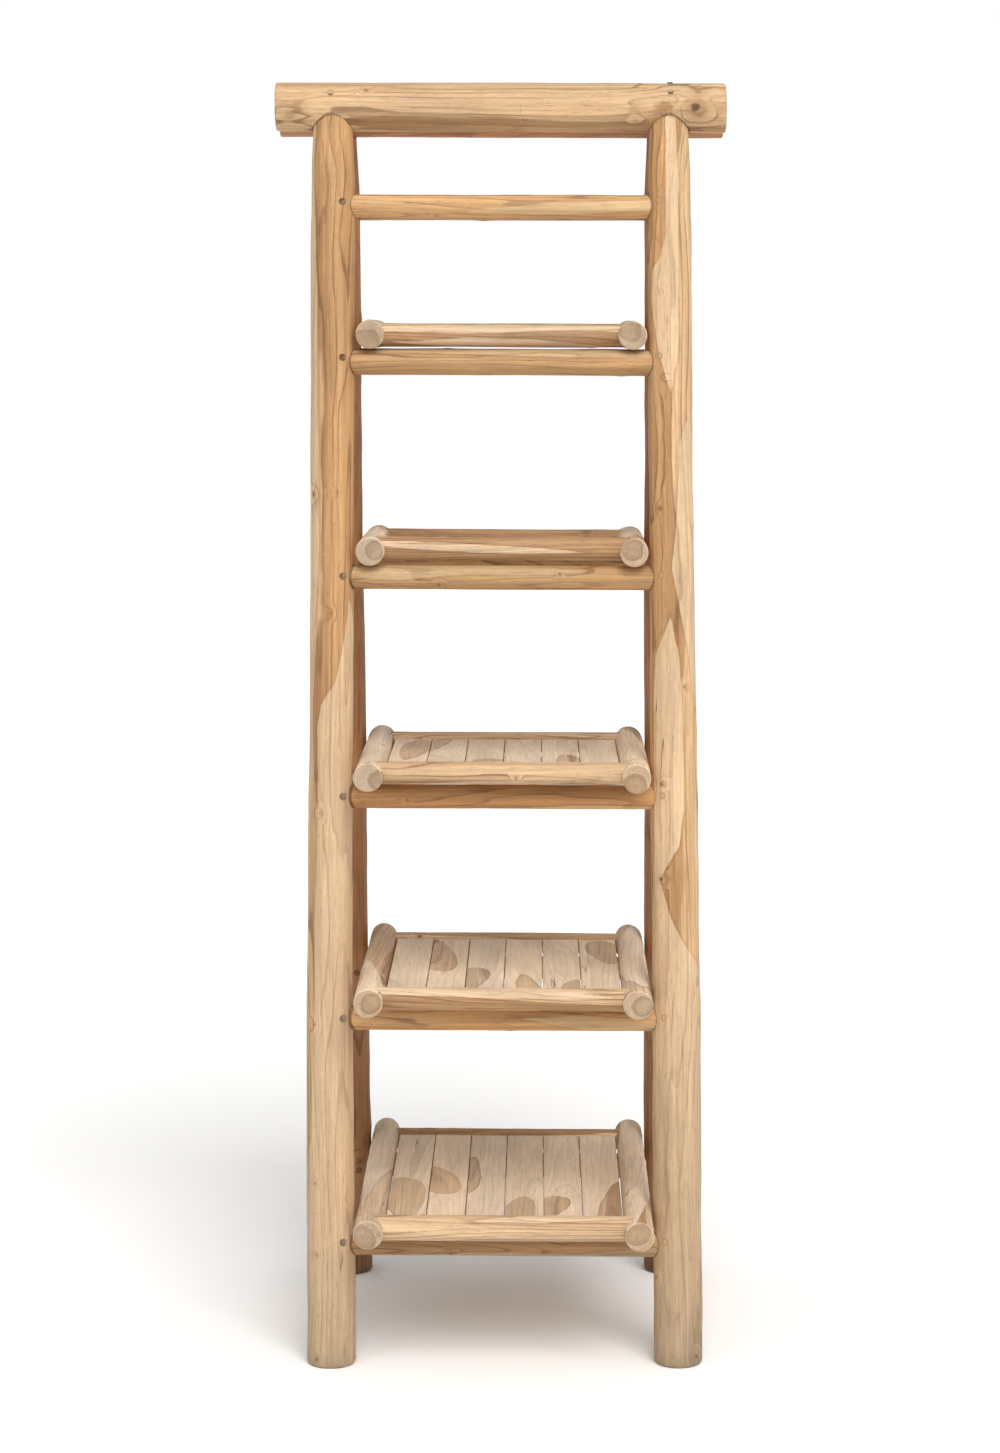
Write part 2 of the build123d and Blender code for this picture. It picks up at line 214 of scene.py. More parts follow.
def plane_cut(point, normal, along):
    """A flat cut through point with this normal, across a log that runs along."""
    return lambda base: (point - base) @ normal / (along @ normal)


def cope_cut(axis_point, radius, along):
    """A cut to the side of a pole along X, where the log first meets it."""

    def cut(base):
        rel = base[..., 1:] - axis_point[1:]
        a = along[1] ** 2 + along[2] ** 2
        b = 2 * (rel[..., 0] * along[1] + rel[..., 1] * along[2])
        c = rel[..., 0] ** 2 + rel[..., 1] ** 2 - radius**2
        root = np.sqrt(np.maximum(b * b - 4 * a * c, 0))
        return (-b - root) / (2 * a)

    return cut


def pole_cope(axis_point, radius, sign):
    """A cut across a rail along X to the side of a pole along Y. sign is the pole's side of the rail."""

    def cut(base):
        rise = base[..., 2] - axis_point[2]
        return axis_point[0] - sign * np.sqrt(np.maximum(radius**2 - rise**2, 0)) - base[..., 0]

    return cut


def smooth(x):
    x = np.clip(x, 0, 1)
    return x * x * (3 - 2 * x)


# How far the shade reaches out from where another log touches.
SEAM_DARK = 4.4 * MM
# Rings that close a cut end, as shares of its rim.
CAP_RINGS = (0.93, 0.78, 0.6, 0.42, 0.24, 0.1)
SHARP_ANGLE = 38  # degrees


class Log:
    """A round piece of wood from start to end. Its first side faces `face`."""

    def __init__(self, name, start, end, radius, face, grain, step=6.0, sides=56):
        self.name = name
        self.p0 = np.array(start, float)
        self.p1 = np.array(end, float)
        self.length = np.linalg.norm(self.p1 - self.p0)
        self.d = (self.p1 - self.p0) / self.length
        face = np.array(face, float)
        self.e1 = face - (face @ self.d) * self.d
        self.e1 /= np.linalg.norm(self.e1)
        self.e2 = np.cross(self.e1, self.d)
        self.radius = radius
        self.grain = grain
        self.step = step * MM
        self.sides = sides
        self.cuts = [square_cut(self.p0, self.d), square_cut(self.p1, self.d)]
        self.edges = [("chamfer", 1.6 * MM)] * 2
        self.taper = lambda s: np.ones_like(s)
        self.square = lambda s: np.zeros_like(s)
        self.shifts = []
        # where other logs touch it; the material paints shade along these
        self.seams = []
        self.calm_from = NO_LIMIT
        self.roughness = 1.0

    def skin(self, s, angle):
        """Radius at distance s along the log and this angle, before its ends are rounded."""
        rng = random.Random(self.grain.offset)
        mm = s / MM
        shape = np.zeros_like(s)
        for size, shortest, longest, turns in (
            (0.50, 500, 1100, (1, 2)),
            (0.34, 170, 420, (1, 2, 3)),
            (0.20, 70, 150, (2, 3, 4)),
            (0.10, 34, 60, (5, 6, 7)),
            (0.07, 600, 900, (9, 11, 13)),
        ):
            for _ in range(3):
                turn = rng.choice(turns) * rng.choice((-1, 1))
                wave = 2 * np.pi * mm / rng.uniform(shortest, longest)
                shape += size * np.sin(wave + turn * angle + rng.uniform(0, 6.28))
        rough = self.roughness * (1 - 0.8 * smooth((s - self.calm_from) / (40 * MM)))
        sink = np.minimum((0.62 * shape - 0.45) * rough, 0.2) * MM
        swell = np.zeros_like(s)
        for place, turn, size, strength in self.grain.knots:
            if strength < 0:
                continue
            ds = (mm - place) / (size * 2.1)
            da = (np.angle(np.exp(1j * (angle - math.radians(turn))))) * self.radius / MM / (size * 1.5)
            swell += strength * 1.5 * MM * np.exp(-(ds**2 + da**2))
        power = 2 + self.square(s)
        flat = (np.abs(np.cos(angle)) ** power + np.abs(np.sin(angle)) ** power) ** (-1 / power)
        return self.radius * self.taper(s) * flat + sink + swell

    def inset(self, which, e):
        """How far the edge at a cut end draws in, at distance e from the cut."""
        style, size = self.edges[which]
        e = np.asarray(e, float)
        if style == "chamfer":
            return np.maximum(size - e, 0)
        return size - np.sqrt(np.maximum(size**2 - np.maximum(size - e, 0) ** 2, 0))

    def edge_rows(self, which):
        style, size = self.edges[which]
        if style == "chamfer":
            return [0, size * 0.5, size, size + 0.8 * MM]
        return [0, size * 0.06, size * 0.2, size * 0.42, size * 0.7, size]

    def points(self):
        """Vertex grid, rows along the log by columns round it."""
        angle = np.linspace(0, 2 * np.pi, self.sides, endpoint=False)
        ring = np.cos(angle)[:, None] * self.e1 + np.sin(angle)[:, None] * self.e2
        first = self.cuts[0](self.p0 + ring * self.radius * self.taper(np.zeros(1)))
        last = self.cuts[1](self.p0 + ring * self.radius * self.taper(np.full(1, self.length)))
        start_rows = self.edge_rows(0)
        end_rows = self.edge_rows(1)
        near, far = first + start_rows[-1], last - end_rows[-1]
        count = max(2, round((far - near).mean() / self.step))
        rows = [(first + e, self.inset(0, e)) for e in start_rows[:-1]]
        rows += [(near + (far - near) * k / count, 0.0) for k in range(count + 1)]
        rows += [(last - e, self.inset(1, e)) for e in reversed(end_rows[:-1])]
        grid = []
        for s, inset in rows:
            r = self.skin(s, angle) - inset
            for side, places, sizes, power in self.shifts:
                r = r + np.interp(s, places, sizes) * np.maximum(ring @ side, 0) ** power
            grid.append(self.p0 + s[:, None] * self.d + ring * r[:, None])
        return np.array(grid)

    def cap(self, rim, which):
        """Rings inside the rim of a cut end, down to its middle point."""
        base = rim - (((rim - self.p0) @ self.d)[:, None]) * self.d
        middle = self.p0
        rings = []
        for k in CAP_RINGS:
            at = middle + (base - middle) * k
            rings.append(at + self.cuts[which](at)[:, None] * self.d)
        rings.append(middle + self.cuts[which](middle[None])[:, None] * self.d)
        return rings

    def plug(self, head):
        """A putty plug over a sunk screw, kept as a knot of strength -1."""
        rel = np.array(head) - self.p0
        s = rel @ self.d
        rel = rel - s * self.d
        turn = math.degrees(math.atan2(rel @ self.e2, rel @ self.e1))
        self.grain.knots.append((s / MM, turn, 4.2, -1.0))

    def build(self, material, holes=()):
        grid = self.points()
        rows, sides = grid.shape[:2]
        verts = [tuple(p) for p in grid.reshape(-1, 3)]
        faces = []

        def band(a, b, flip=False):
            for j in range(sides):
                k = (j + 1) % sides
                quad = (a + j, b + j, b + k, a + k)
                faces.append(quad[::-1] if flip else quad)

        for i in range(rows - 1):
            band(i * sides, (i + 1) * sides)
        for which, base in ((0, 0), (1, (rows - 1) * sides)):
            previous = base
            for ring in self.cap(grid[0 if which == 0 else -1], which):
                start = len(verts)
                verts.extend(tuple(p) for p in ring)
                if len(ring) == 1:
                    for j in range(sides):
                        tri = (previous + j, start, previous + (j + 1) % sides)
                        faces.append(tri if which == 1 else tri[::-1])
                else:
                    band(previous, start, flip=(which == 0))
                    previous = start
        mesh = bpy.data.meshes.new(self.name)
        mesh.from_pydata(verts, [], faces)
        obj = add_object(self.name, mesh)
        mesh.materials.append(material)
        if holes:
            drill(obj, holes)
        self.paint(obj, holes)
        finish_mesh(obj)
        return obj

    def marks(self, co, s, holes):
        """Of each point: 1 on a cut end, metres from a screw or seam, where painted shade darkens it, and how
        pale its edge is (or dark with painted shade, < 0).
        """
        first = s * MM - self.cuts[0](co - (s * MM)[:, None] * self.d)
        last = self.cuts[1](co - (s * MM)[:, None] * self.d) - s * MM
        mark = np.zeros((len(co), 3))
        mark[:, 1] = 1.0
        # distance to each screw hole and seam, where the material paints shade
        for head, out in holes:
            rel = co - np.array(head)
            away = np.linalg.norm(rel - (rel @ np.array(out))[:, None] * np.array(out), axis=1)
            mark[:, 1] = np.minimum(mark[:, 1], away)
        for point, direction, radius, top in self.seams:
            rel = co - point
            along = rel @ direction
            away = np.linalg.norm(rel - along[:, None] * direction, axis=1) - radius + SEAM_DARK
            away += np.maximum(along - top, 0)
            mark[:, 1] = np.minimum(mark[:, 1], away)
        for e, (style, size) in ((first, self.edges[0]), (last, self.edges[1])):
            mark[:, 0] = np.maximum(mark[:, 0], e < 0.05 * MM)
            # a cope's edge is painted dark, as shade where the leg meets the beam
            if style == "cope":
                mark[:, 2] -= smooth(1 - e / (size * 1.1))
            if style == "chamfer":
                mark[:, 2] = np.maximum(mark[:, 2], smooth(1 - np.abs(e - size * 0.5) / (size * 0.8)))
        return mark

    def paint(self, obj, holes):
        """Writes where each point lies in the wood, for the wood materials."""
        co = coordinates(obj.data)
        rel = co - self.p0
        s = rel @ self.d / MM
        y = rel @ self.e1 / MM
        z = rel @ self.e2 / MM
        angle = np.arctan2(z, y)
        cy, cz = self.grain.pith_at(s)
        grain = np.stack([s + self.grain.offset * 1000, y - cy, z - cz], 1) * MM
        knot = np.zeros((len(co), 3))
        best = np.full(len(co), NO_LIMIT)
        for place, turn, size, strength in self.grain.knots:
            u = (s - place) / size
            v = np.angle(np.exp(1j * (angle - math.radians(turn)))) * self.radius / MM / size
            far = u * u + v * v
            near = far < best
            best[near] = far[near]
            knot[near] = np.stack([u, v, np.full_like(u, strength)], 1)[near]
        mark = self.marks(co, s, holes)
        write_attribute(obj.data, "grain", grain)
        write_attribute(obj.data, "knot", knot)
        write_attribute(obj.data, "mark", mark)
        tint = np.tile([self.grain.tone, self.grain.grey, self.grain.heart * MM], (len(co), 1))
        for place, width, tone, grey in self.grain.patches:
            near = np.exp(-(((s - place) / width) ** 2))
            tint[:, 0] += tone * near
            tint[:, 1] = np.clip(tint[:, 1] + grey * near, 0, 1)
        write_attribute(obj.data, "tint", tint)
        depth = np.where(mark[:, 0] > 0.5, -SAP_LIMIT, self.grain.sap_depth(s, angle, self.radius / MM))
        write_attribute(obj.data, "sap", np.stack([depth * MM, 0 * depth, 0 * depth], 1))


def coordinates(mesh):
    co = np.empty(len(mesh.vertices) * 3)
    mesh.vertices.foreach_get("co", co)
    return co.reshape(-1, 3)


def add_object(name, data):
    obj = bpy.data.objects.new(name, data)
    bpy.context.scene.collection.objects.link(obj)
    return obj


def write_attribute(mesh, name, values):
    attribute = mesh.attributes.new(name, "FLOAT_VECTOR", "POINT")
    attribute.data.foreach_set("vector", np.asarray(values, np.float32).ravel())


def settled(co):
    """How far each point (x, y, z) is lifted, to follow the real frame's small errors."""
    heights, lifts = (np.array(v) * MM for v in zip(*LEVELS))
    lean = RACK_SLOPE * co[..., 0] * smooth(co[..., 2] / RACK_FROM_Z)
    return np.interp(co[..., 2], heights, lifts) - lean


def finish_mesh(obj):
    mesh = obj.data
    co = coordinates(mesh)
    co[:, 2] += settled(co)
    mesh.vertices.foreach_set("co", co.ravel())
    mesh.validate()
    mesh.polygons.foreach_set("use_smooth", [True] * len(mesh.polygons))
    mesh.set_sharp_from_angle(angle=math.radians(SHARP_ANGLE))
    mesh.update()


def drill(obj, holes):
    """Cuts a round hole down to each screw's head."""
    for head, out in holes:
        bpy.ops.mesh.primitive_cylinder_add(vertices=HOLE_SIDES, radius=HOLE_RADIUS, depth=HOLE_REACH)
        cutter = bpy.context.object
        cutter.rotation_mode = "QUATERNION"
        cutter.rotation_quaternion = UP.rotation_difference(out)
        cutter.location = head + out * HOLE_REACH / 2
        modifier = obj.modifiers.new("hole", "BOOLEAN")
        modifier.operation = "DIFFERENCE"
        modifier.solver = "EXACT"
        modifier.object = cutter
        bpy.context.view_layer.update()
        shaped = bpy.data.meshes.new_from_object(obj.evaluated_get(bpy.context.evaluated_depsgraph_get()))
        obj.modifiers.clear()
        old = obj.data
        obj.data = shaped
        bpy.data.meshes.remove(old)
        bpy.data.objects.remove(cutter)


# ---- materials
class Nodes:
    """Short calls for building a material's node tree."""

    def __init__(self, name):
        self.material = bpy.data.materials.new(name)
        self.material.use_nodes = True
        self.tree = self.material.node_tree
        self.tree.nodes.clear()
        self.out = self.add("OutputMaterial")
        self.shader = self.add("BsdfPrincipled")
        self.tree.links.new(self.shader.outputs[0], self.out.inputs[0])

    def add(self, kind):
        return self.tree.nodes.new("ShaderNode" + kind)

    def put(self, socket, value):
        if isinstance(value, bpy.types.NodeSocket):
            self.tree.links.new(value, socket)
        elif value is not None:
            socket.default_value = value

    def math(self, op, a, b=None):
        n = self.add("Math")
        n.operation = op
        for socket, value in zip(n.inputs, (a, b)):
            self.put(socket, value)
        return n.outputs[0]

    def times(self, a, b):
        return self.math("MULTIPLY", a, b)

    def plus(self, a, b):
        return self.math("ADD", a, b)

    def minus(self, a, b):
        return self.math("SUBTRACT", a, b)

    def around(self, noise, strength):
        """1, give or take a noise that is centred on 0.5."""
        return self.plus(1.0, self.times(self.minus(noise, 0.5), strength))

    def less(self, where, strength):
        """1 where it isn't, and less by strength where it is."""
        return self.minus(1.0, self.times(where, strength))

    def vector(self, op, a, b=None):
        n = self.add("VectorMath")
        n.operation = op
        self.put(n.inputs[0], a)
        self.put(n.inputs[1], b)
        return n.outputs["Value" if op == "LENGTH" else "Vector"]

    def attribute(self, name):
        n = self.add("Attribute")
        n.attribute_name = name
        return n.outputs["Vector"]

    def split(self, vector):
        n = self.add("SeparateXYZ")
        self.put(n.inputs[0], vector)
        return n.outputs

    def join(self, x, y, z):
        n = self.add("CombineXYZ")
        for socket, value in zip(n.inputs, (x, y, z)):
            self.put(socket, value)
        return n.outputs[0]

    def noise(self, vector, scale, detail=2.0, rough=0.5, colour=False):
        """Noise at a scale for each axis, in cells per metre."""
        n = self.add("TexNoise")
        self.put(n.inputs["Vector"], self.vector("MULTIPLY", vector, scale))
        n.inputs["Scale"].default_value = 1.0
        n.inputs["Detail"].default_value = detail
        n.inputs["Roughness"].default_value = rough
        return n.outputs["Color" if colour else "Fac"]

    def step(self, value, low, high):
        """0 below low, 1 above high, smooth between. low may be above high."""
        n = self.add("MapRange")
        n.interpolation_type = "SMOOTHSTEP"
        self.put(n.inputs["Value"], value)
        self.put(n.inputs["From Min"], low)
        self.put(n.inputs["From Max"], high)
        return n.outputs[0]

    def mix(self, fac, a, b, blend="MIX"):
        n = self.add("Mix")
        n.data_type = "RGBA"
        n.blend_type = blend
        n.clamp_factor = True
        self.put(n.inputs[0], fac)
        for socket, value in ((n.inputs[6], a), (n.inputs[7], b)):
            if isinstance(value, tuple):
                value = (*value, 1.0)
            self.put(socket, value)
        return n.outputs[2]

    def lay(self, colour, *layers):
        """Mixes other colours in, each given as where, how strongly, and the colour."""
        for where, strength, other in layers:
            colour = self.mix(self.times(where, strength), colour, other)
        return colour

    def bump(self, height, distance):
        n = self.add("Bump")
        n.inputs["Strength"].default_value = 1.0
        n.inputs["Distance"].default_value = distance
        self.put(n.inputs["Height"], height)
        return n.outputs[0]


LINE = (0.190, 0.082, 0.030)
KNOT_HALO = (0.28, 0.125, 0.040)
KNOT_CORE = (0.070, 0.030, 0.014)
PUTTY = (0.52, 0.33, 0.165)
PUTTY_RIM = (0.12, 0.055, 0.025)
SILVER = (1.10, 1.0, 0.84)
BEVEL = (0.60, 0.45, 0.29)
# painted shade along a cope's edge, where a leg meets the beam
COPE_SEAM_SHADE = (0.09, 0.040, 0.018)


def teak(name, sap, heart, pale_sap, ring, lines=1.0, cloud_share=0.42, line=LINE):
    """Solid teak: rings round a wandering pith, pale sapwood, browner heartwood, streaks, pores and knots.

    ring is the rings' width in millimetres, lines the strength of the fine figure, and cloud_share how much
    soft heartwood colour drifts through the sapwood.
    """
    n = Nodes(name)
    m, times, plus, minus, step = n.math, n.times, n.plus, n.minus, n.step
    place = n.attribute("grain")
    knot_u, knot_v, knot_strength = n.split(n.attribute("knot"))
    end, from_screw_or_seam, pale = n.split(n.attribute("mark"))
    tone, grey, heart_radius = n.split(n.attribute("tint"))

    # the rings' centre is pushed about by slow noise, so that the figure wavers along the log
    slow = n.vector("SUBTRACT", n.noise(place, (1.5, 12, 12), 2, 0.45, colour=True), (0.5, 0.5, 0.5))
    fine = n.vector("SUBTRACT", n.noise(place, (6, 70, 70), 2, 0.5, colour=True), (0.5, 0.5, 0.5))
    moved = n.vector("ADD", place, n.vector("MULTIPLY", slow, (0, 0.030, 0.030)))
    moved = n.vector("ADD", moved, n.vector("MULTIPLY", fine, (0, 0.0024, 0.0024)))
    _, across_y, across_z = n.split(moved)
    from_pith = n.vector("LENGTH", n.join(0.0, across_y, across_z))
    plain = n.vector("LENGTH", n.vector("MULTIPLY", place, (0, 1, 1)))

    # knots: the rings climb over them and close in rings of their own
    knot_distance = n.vector("LENGTH", n.join(knot_u, knot_v, 0.0))
    wobble = n.noise(place, (60, 160, 160), 2)
    knot_distance = plus(knot_distance, times(minus(wobble, 0.5), 0.5))
    plug = step(knot_strength, -0.6, -0.8)
    knot_strength = m("MAXIMUM", knot_strength, 0.0)
    plug_edge = times(step(knot_distance, 1.25, 1.0), step(knot_distance, 0.75, 1.0))
    plug_edge = times(plug_edge, plug)
    plug = times(step(knot_distance, 1.05, 0.95), plug)
    wide = times(step(knot_distance, 3.8, 0.2), knot_strength)
    core = times(step(knot_distance, 0.60, 0.25), knot_strength)
    halo = times(step(knot_distance, 1.7, 0.4), knot_strength)
    from_pith = plus(from_pith, times(wide, 0.0090))

    # growth rings: each ends in a thin dark line, after a slow browning
    uneven = n.noise(place, (1.2, 30, 30), 2)
    count = plus(m("DIVIDE", from_pith, ring * MM), times(uneven, 2.6))
    phase = m("FRACT", count)
    late = times(m("POWER", phase, 2.6), step(phase, 1.0, 0.95))
    hair = times(step(phase, 0.74, 0.86), step(phase, 1.0, 0.92))
    ring_fade = step(n.noise(place, (4, 45, 45), 2), 0.36, 0.60)
    late = times(late, plus(0.45, times(ring_fade, 0.55)))
    hair = times(hair, plus(0.15, times(ring_fade, 0.85)))
    # whole rings differ in tone
    band = n.add("TexWhiteNoise")
    band.noise_dimensions = "1D"
    n.put(band.inputs["W"], m("FLOOR", count))
    band = minus(band.outputs["Value"], 0.5)

    # heartwood within a crisp, wavering border
    border = times(minus(n.noise(place, (5, 60, 60), 3, 0.6), 0.5), 0.006)
    calmer = plus(times(from_pith, 0.45), times(plain, 0.55))
    inside = minus(plus(heart_radius, border), calmer)
    heartwood = times(step(inside, -0.0008, 0.0012), step(n.noise(place, (2, 20, 20), 2), 0.18, 0.5))
    rim_line = times(step(inside, -0.0004, 0.0006), step(inside, 0.0060, 0.0008))
    cloud = step(n.noise(place, (2.2, 24, 24), 4, 0.6), 0.38, 0.66)

    # long fibres, mineral streaks, slow mottling, hairline checks
    fibre = n.noise(place, (14, 430, 430), 4, 0.7)
    streak = n.noise(place, (2.6, 210, 210), 3, 0.6)
    mineral = step(n.noise(place, (1.5, 80, 80), 3, 0.6), 0.58, 0.70)
    mottle = n.noise(place, (5, 26, 26), 4, 0.6)
    pores = step(n.noise(place, (70, 1300, 1300), 2, 0.6), 0.58, 0.70)
    fleck = times(step(n.noise(place, (60, 380, 380), 2), 0.62, 0.72), step(mottle, 0.42, 0.60))
    thread = m("ABSOLUTE", minus(n.noise(place, (2.4, 65, 65), 2, 0.5), 0.5))
    check = times(step(thread, 0.011, 0.003), step(n.noise(place, (3.2, 24, 24), 2), 0.63, 0.72))

    # smooth pale tongues of sapwood, with a crisp border that is browner outside
    sap_depth = n.split(n.attribute("sap"))[0]
    waver = times(minus(n.noise(place, (9, 55, 55), 3, 0.6), 0.5), 0.008)
    sap_depth = plus(sap_depth, waver)
    tongue = step(sap_depth, -0.0004, 0.0007)
    tongue_rim = times(step(sap_depth, -0.0050, -0.0004), step(sap_depth, 0.0005, -0.0003))
    tongue_rim = times(tongue_rim, step(n.noise(place, (7, 40, 40), 2), 0.36, 0.60))
    calm = minus(1.0, times(tongue, 0.55))

    colour = n.lay(
        sap,
        (cloud, cloud_share, heart),
        (heartwood, 0.82, heart),
        (rim_line, 0.32, line),
        (tongue, 0.88, pale_sap),
        (tongue_rim, 0.34, line),
        (times(late, calm), 0.42 * lines, line),
        (times(hair, calm), 0.50 * lines, line),
        (times(mineral, calm), 0.26 * lines, line),
    )
    light = times(n.around(mottle, 0.62), plus(1.0, times(band, 0.20 * lines)))
    streak = times(minus(streak, 0.5), plus(0.35, times(calm, 0.5)))
    light = times(light, plus(1.0, times(streak, lines)))
    light = times(light, n.around(fibre, 0.60))
    light = times(light, plus(1.0, tone))
    # painted shade: the wood darkens in and round the screw holes and along the seams where other logs touch
    shade_at_screws_and_seams = step(from_screw_or_seam, 0.0060, 0.0044)
    shades = ((pores, 0.16), (fleck, 0.26 * lines), (check, 0.62), (end, 0.27), (shade_at_screws_and_seams, 0.55))
    for where, strength in shades:
        light = times(light, n.less(where, strength))
    colour = n.mix(1.0, colour, n.join(light, light, light), "MULTIPLY")
    colour = n.lay(colour, (halo, 0.50, KNOT_HALO), (core, 0.80, KNOT_CORE))
    colour = n.lay(colour, (plug, 0.8, PUTTY), (plug_edge, 0.5, PUTTY_RIM))

    # weathering greys the wood, the bevel of a cut end is paler, and a cope's edge is painted dark as shade
    lum = n.add("RGBToBW")
    n.put(lum.inputs[0], colour)
    silver = n.mix(1.0, n.join(lum.outputs[0], lum.outputs[0], lum.outputs[0]), SILVER, "MULTIPLY")
    colour = n.mix(grey, colour, silver)
    colour = n.lay(colour, (pale, 0.50, BEVEL), (pale, -0.80, COPE_SEAM_SHADE))
    n.put(n.shader.inputs["Base Color"], colour)

    rough = plus(0.50, times(fibre, 0.20))
    n.put(n.shader.inputs["Roughness"], plus(rough, times(end, 0.15)))
    n.shader.inputs["Specular IOR Level"].default_value = 0.35
    height = times(fibre, 0.5)
    for where, strength in ((late, 0.35), (pores, 0.5), (core, 1.6), (check, 2.0)):
        height = minus(height, times(where, strength))
    n.put(n.shader.inputs["Normal"], n.bump(height, 0.00035))
    return n.material


def steel(name, colour, rough):
    """Zinc-plated steel, dulled unevenly."""
    n = Nodes(name)
    coord = n.add("TexCoord").outputs["Object"]
    blotch = n.noise(coord, (260, 260, 260), 3, 0.6)
    brush = n.noise(coord, (90, 2200, 2200), 2, 0.5)
    dark = tuple(c * 0.45 for c in colour)
    n.put(n.shader.inputs["Base Color"], n.mix(n.step(blotch, 0.42, 0.68), colour, dark))
    n.shader.inputs["Metallic"].default_value = 0.85
    n.put(n.shader.inputs["Roughness"], n.plus(rough, n.times(brush, 0.2)))
    n.put(n.shader.inputs["Normal"], n.bump(n.plus(blotch, brush), 0.00008))
    return n.material


# Colours of the sapwood, the heartwood and the palest tongues. The tray poles are calmer than their rails.
WOODS = {
    "log_wood": teak("teak_log", (0.69, 0.460, 0.255), (0.49, 0.265, 0.108), (0.66, 0.465, 0.285), ring=4.2),
    # the rear frame's logs: the same teak painted darker and browner, as painted shade
    "rear_shaded_log_wood": teak("shaded_brown_teak_log", (0.43, 0.215, 0.095), (0.31, 0.128, 0.048), (0.45, 0.27, 0.14),
                          ring=4.2),
    "rung_wood": teak("teak_rung", (0.62, 0.370, 0.170), (0.46, 0.215, 0.074), (0.62, 0.42, 0.225), ring=3.0),
    "pole_wood": teak("teak_pole", (0.66, 0.450, 0.265), (0.46, 0.252, 0.112), (0.72, 0.52, 0.335), ring=3.2),
    "slat_wood": teak("teak_slat", (0.62, 0.430, 0.260), (0.48, 0.300, 0.160), (0.80, 0.625, 0.445), ring=6.5,
                      lines=0.45, cloud_share=0.30),
    "side_pole_wood": teak("teak_side_pole", (0.66, 0.450, 0.265), (0.46, 0.252, 0.112), (0.76, 0.58, 0.40),
                           ring=3.6, lines=0.62, cloud_share=0.34),
}
STEELS = {
    "screw_steel": steel("dull_screw_steel", (0.30, 0.27, 0.23), 0.38),
    "hinge_steel": steel("zinc_hinge_steel", (0.55, 0.54, 0.52), 0.30),
}


def place_piece(obj, body, slot, *nodes):
    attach(obj, body)
    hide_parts(*nodes)


# ---- ladder frames
SIDES = {"left": -1, "right": 1}
BODY = {"front": "front_frame", "rear": "rear_frame"}

LOG_GRAIN = {
    "front_top_beam": Grain(
        3, heart=27, tone=-0.13, pith=(4, -7), bulges=[(560, 60, 6, 4)],
        knots=[
            (583, -2, 13, 1.0), (127, 38, 3.2, 0.9), (22, -22, 17, 0.30), (500, -35, 4, 0.3),
        ],
    ),
    "rear_top_beam": Grain(
        11, heart=30, tone=0.25), "front_left_leg": Grain(21, heart=31, tone=-0.02, pith=(7, -6), wander=1.6,
        knots=[
            (1181, 50, 5, 0.5), (1183, -17, 3.5, 0.4), (742, 26, 5, 0.45), (455, 42, 5, 0.4),
            (242, 40, 3, 0.5), (146, 36, 4.5, 0.45), (1015, 2, 5, 0.4), (9, 34, 3, 0.8),
        ],
    ),
    "front_right_leg": Grain(
        37, heart=31, tone=-0.02, pith=(3, 8), wander=2.0, bulges=[(1600, 110, 3, 12)],
        knots=[
            (917, -25, 5, 0.5), (784, 33, 4.5, 0.7), (655, 36, 5, 0.9), (1163, 38, 4, 0.4),
            (1345, 20, 3, 0.4), (118, 62, 4, 0.7), (12, -45, 5, 0.8),
        ],
    ),
    "rear_left_leg": Grain(45, heart=31),
    "rear_right_leg": Grain(52, heart=31),
}

# How far a side of each leg stands out from the CAD's, at distances up the leg, in millimetres.
OUTER_SHIFT = {
    "front_left_leg": ((0, 2.0), (600, 1.8), (780, 0), (1000, -2.8), (1500, -3.8)),
    "front_right_leg": ((0, 0.7), (450, 1.2), (750, -0.2), (1000, -3.4), (1500, -4.3)),
    "rear_left_leg": ((0, 0), (900, -0.4), (1500, -1.2)),
    "rear_right_leg": ((0, 0.6), (900, -0.2), (1500, -1.2)),
}
INNER_SHIFT = {
    "front_left_leg": ((0, 0), (160, -2.0), (460, -4.2), (800, -4.4), (1060, -2.7), (1360, -1.0), (1500, 0)),
}

# Pale sapwood on the front legs: tongues of (distance up the leg, right edge, left edge in degrees).
LEG_SAP = {
    "front_left_leg": (
        (
            (1750, 50, 120), (1520, 43, 125), (1450, 38, 125), (1238, 36, 125), (1196, 41, 120),
            (1181, 55, 120), (1165, 41, 120), (1139, 32, 120), (1097, 33, 120), (1027, 42, 115),
            (972, 53, 110), (930, 68, 100), (895, 90, 92),
        ),
        (
            (1030, -62, -56), (1000, -90, -46), (972, -110, -33), (944, -120, -21), (917, -120, -8),
            (903, -120, 8), (889, -120, 25), (862, -120, 37), (740, -120, 33), (600, -120, 40),
            (460, -120, 42), (300, -120, 55), (220, -120, 100), (-60, -120, 100),
        ),
    ),
    "front_right_leg": (
        (
            (1750, -14, 16), (1630, -17, 14), (1540, -17, 16), (1512, -17, 30), (1492, -17, 55),
            (1450, -17, 62), (1415, -18, 46), (1378, -16, 34), (1350, -5, 17), (1325, 2, 7),
        ),
        (
            (1292, -46, -44), (1250, -80, -12), (1150, -105, -8), (1080, -105, 4), (1020, -100, -14),
            (960, -90, -40), (890, -76, -66),
        ),
        (
            (1010, 8, 12), (958, -13, 52), (889, -19, 62), (820, -21, 60), (752, -21, 58), (700, -8, 62),
            (668, 26, 70), (650, 36, 72), (631, 27, 72), (600, 10, 75), (565, -20, 80), (538, -60, 85),
            (511, -100, 90), (-60, -100, 95),
        ),
    ),
}


